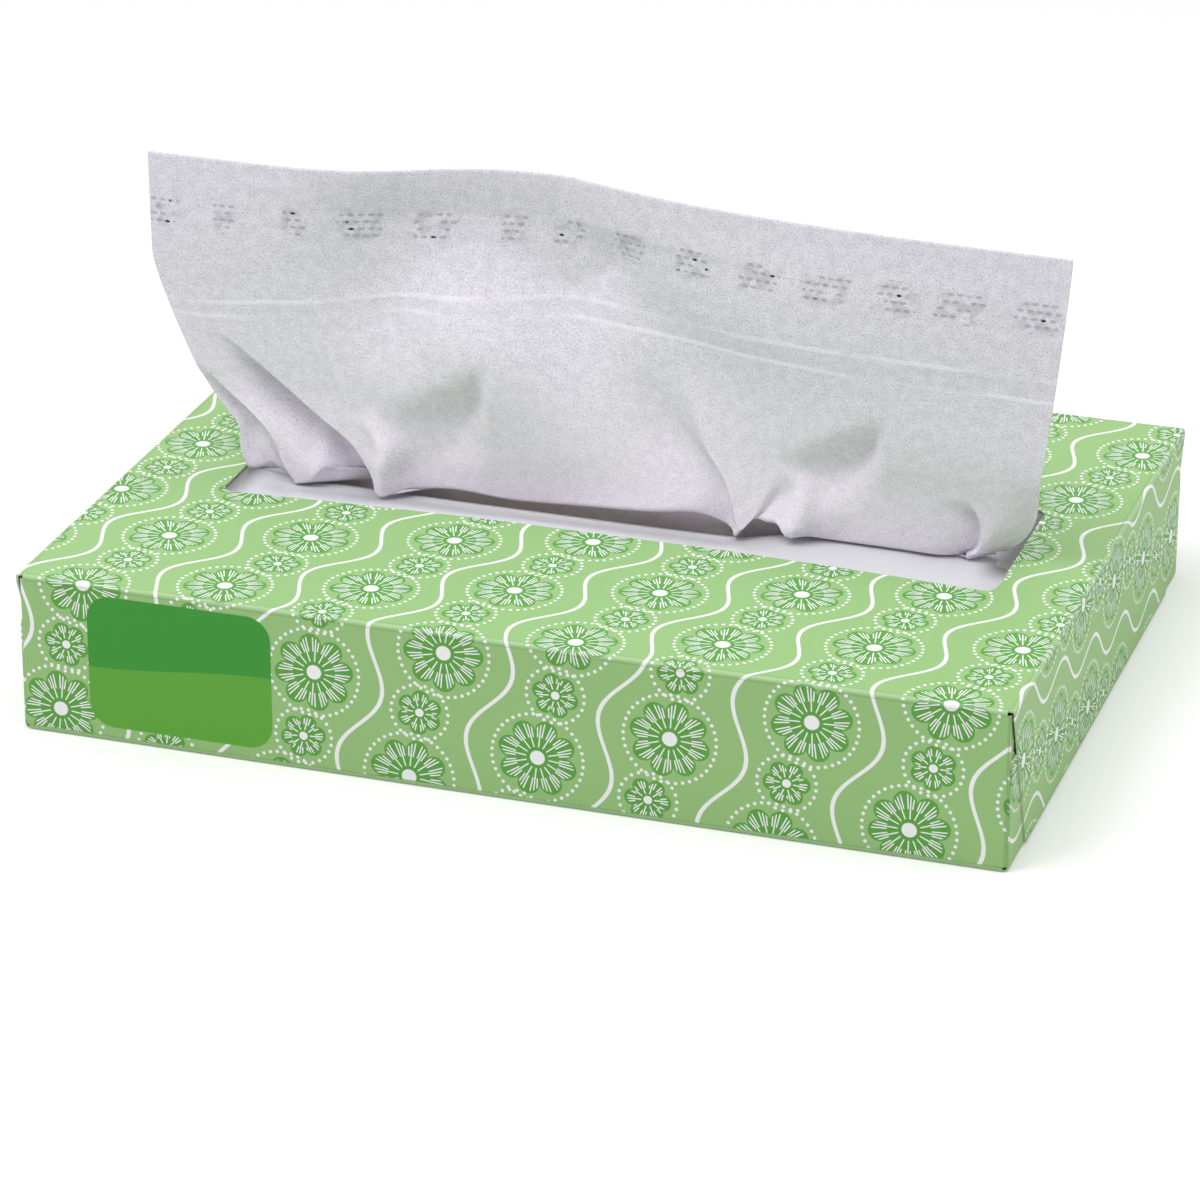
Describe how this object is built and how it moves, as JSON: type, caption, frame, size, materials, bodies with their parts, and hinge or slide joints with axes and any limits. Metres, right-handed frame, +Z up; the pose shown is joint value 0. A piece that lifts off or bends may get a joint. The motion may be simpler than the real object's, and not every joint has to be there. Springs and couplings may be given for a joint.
{
  "type": "tissue box",
  "caption": "Flat printed card tissue box with a film-lined opening in its top and one pulled-up tissue gathered in the slit.",
  "frame": {"origin": "centre of the carton's footprint, on the face that it rests on", "axes": "+X along the carton's long side to the right in the picture, +Y towards the back, +Z up through the opening"},
  "size_m": [0.235, 0.172, 0.116],
  "materials": {
    "printed_board": "coated board printed in two greens and white, uncoated grey-brown inside",
    "clear_film": "thin glossy translucent film",
    "tissue_paper": "soft creped two-ply tissue, pale cool grey"
  },
  "bodies": {
    "root": {"carton": "printed_board", "slit_film": "clear_film", "tissue_stack": "tissue_paper", "popup_tissue": "tissue_paper"}
  },
  "joints": []
}
